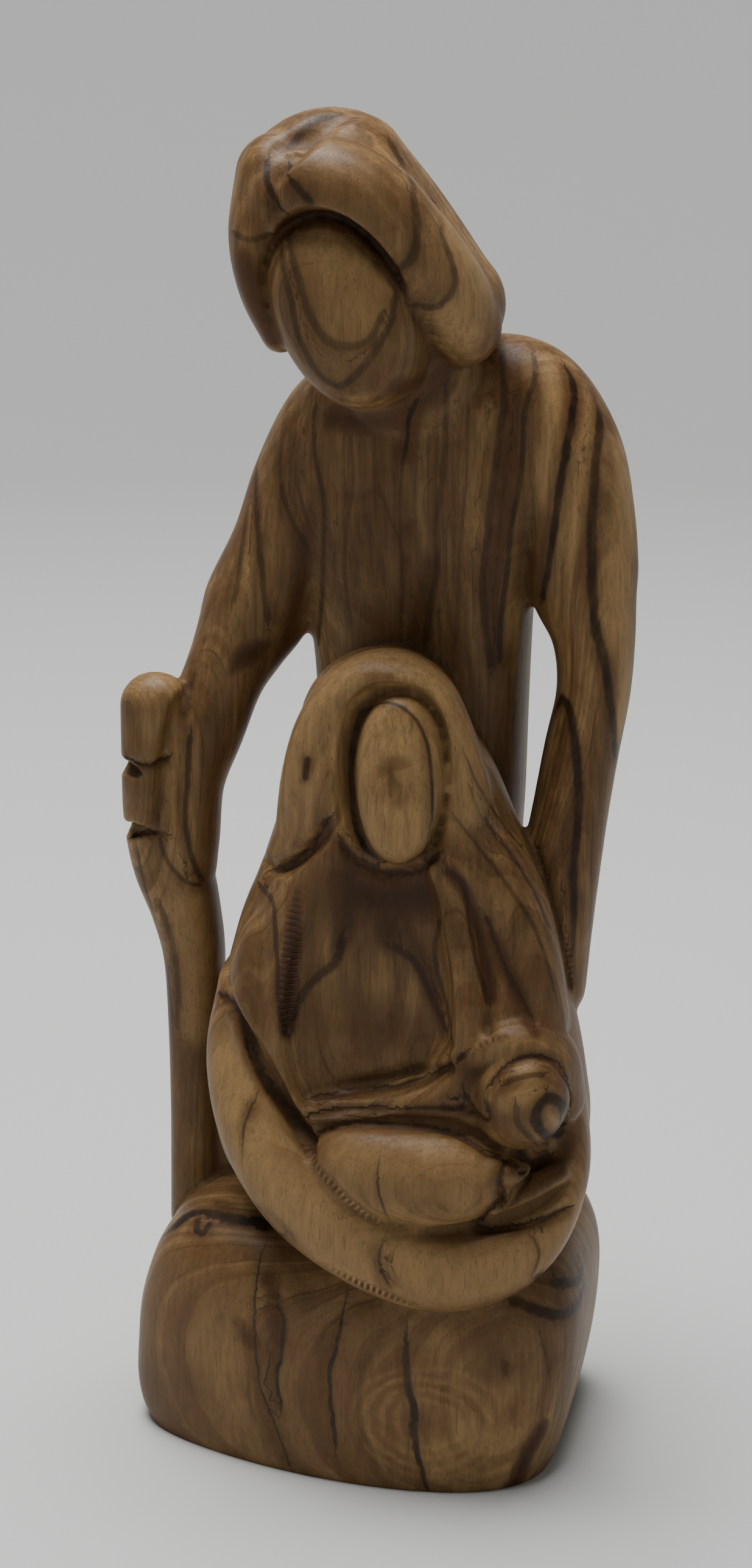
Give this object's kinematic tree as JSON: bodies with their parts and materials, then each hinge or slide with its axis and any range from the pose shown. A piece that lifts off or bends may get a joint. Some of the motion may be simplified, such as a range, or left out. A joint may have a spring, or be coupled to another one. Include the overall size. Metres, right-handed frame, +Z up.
{
  "type": "holy family statue",
  "caption": "Hooded man with a staff bowing over a seated hooded mother with a swaddled child, blank faced, carved from one block of olive wood on a rounded base.",
  "frame": {"origin": "middle of the underside of the base, on the surface it stands on", "axes": "+Z up; the figures face -Y; +X is to the right as seen from the front, on the standing man's left hand side"},
  "size_m": [0.0754, 0.0527, 0.1999],
  "materials": {
    "olive_wood": "hand carved, oiled to a satin sheen, with dark figure and fine cracks"
  },
  "bodies": {
    "root": {"holy_family": "olive_wood"}
  },
  "joints": []
}
